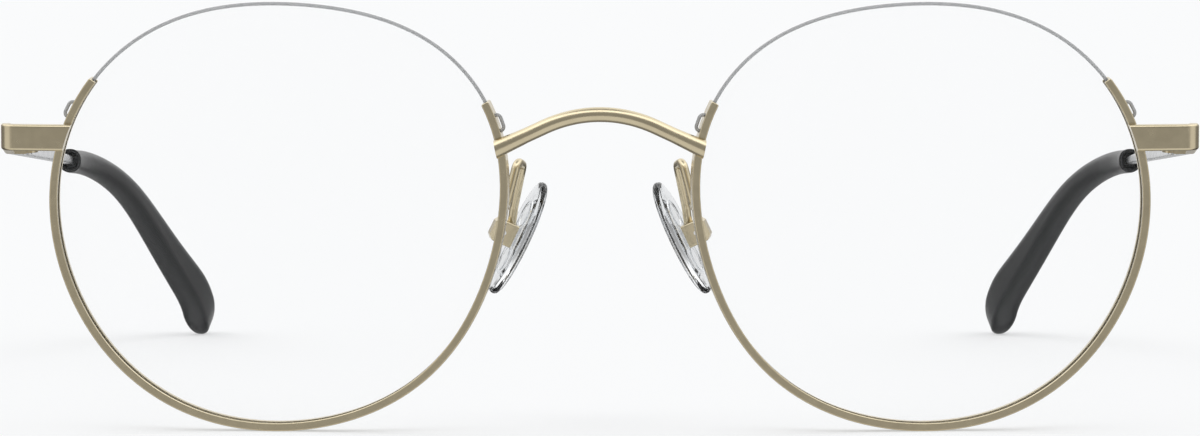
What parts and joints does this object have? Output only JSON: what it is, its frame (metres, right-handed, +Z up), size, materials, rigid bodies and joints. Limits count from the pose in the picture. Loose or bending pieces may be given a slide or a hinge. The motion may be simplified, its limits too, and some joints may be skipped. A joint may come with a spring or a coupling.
{
  "type": "eyeglasses",
  "caption": "Round eyeglasses with metal half-rims under the lenses, nylon-held tops, adjustable nose pads and folding temples.",
  "frame": {"origin": "centre of the box of the open glasses, on the surface they stand on", "axes": "+X towards the wearer's left, +Y from the front to the temple tips, +Z up"},
  "size_m": [0.1344, 0.1387, 0.0483],
  "materials": {
    "champagne_metal": "satin champagne plating",
    "silver_metal": "satin",
    "screw_steel": "polished",
    "tip_plastic": "satin",
    "lens_plastic": "clear, polished",
    "nylon": "clear filament",
    "pad_silicone": "clear silicone",
    "pad_core_plastic": "clear, hard"
  },
  "bodies": {
    "front": {"bridge": "champagne_metal", "right_rim": "champagne_metal", "right_lens": "lens_plastic", "right_nylon_cord": "nylon", "right_rim_liner": "nylon", "right_endpiece": "champagne_metal", "right_hinge_front": "champagne_metal", "right_hinge_screw": "screw_steel", "right_pad_box": "champagne_metal", "right_pad_screw": "screw_steel", "right_pad_arm": "champagne_metal", "left_rim": "champagne_metal", "left_lens": "lens_plastic", "left_nylon_cord": "nylon", "left_rim_liner": "nylon", "left_endpiece": "champagne_metal", "left_hinge_front": "champagne_metal", "left_hinge_screw": "screw_steel", "left_pad_box": "champagne_metal", "left_pad_screw": "screw_steel", "left_pad_arm": "champagne_metal"},
    "right_temple": {"right_temple_arm": "silver_metal", "right_temple_tip": "tip_plastic", "right_hinge_rear": "silver_metal"},
    "right_pad": {"right_nose_pad": "pad_silicone", "right_pad_core": "pad_core_plastic"},
    "left_temple": {"left_temple_arm": "silver_metal", "left_temple_tip": "tip_plastic", "left_hinge_rear": "silver_metal"},
    "left_pad": {"left_nose_pad": "pad_silicone", "left_pad_core": "pad_core_plastic"}
  },
  "joints": [
    {"name": "right_temple_hinge", "type": "hinge", "parent": "front", "child": "right_temple", "pos_m": [-0.0646, -0.05717, 0.03228], "axis": [0, 0.0558, -0.9984], "range_deg": [0, 82]},
    {"name": "left_temple_hinge", "type": "hinge", "parent": "front", "child": "left_temple", "pos_m": [0.0646, -0.05717, 0.03228], "axis": [0, -0.0558, 0.9984], "range_deg": [0, 85]},
    {"name": "right_pad_rock", "type": "hinge", "parent": "front", "child": "right_pad", "pos_m": [-0.01099, -0.05814, 0.02214], "axis": [0.1749, -0.9777, -0.1162], "range_deg": [-8, 8]},
    {"name": "left_pad_rock", "type": "hinge", "parent": "front", "child": "left_pad", "pos_m": [0.01099, -0.05814, 0.02214], "axis": [0.1749, 0.9777, 0.1162], "range_deg": [-8, 8]}
  ]
}
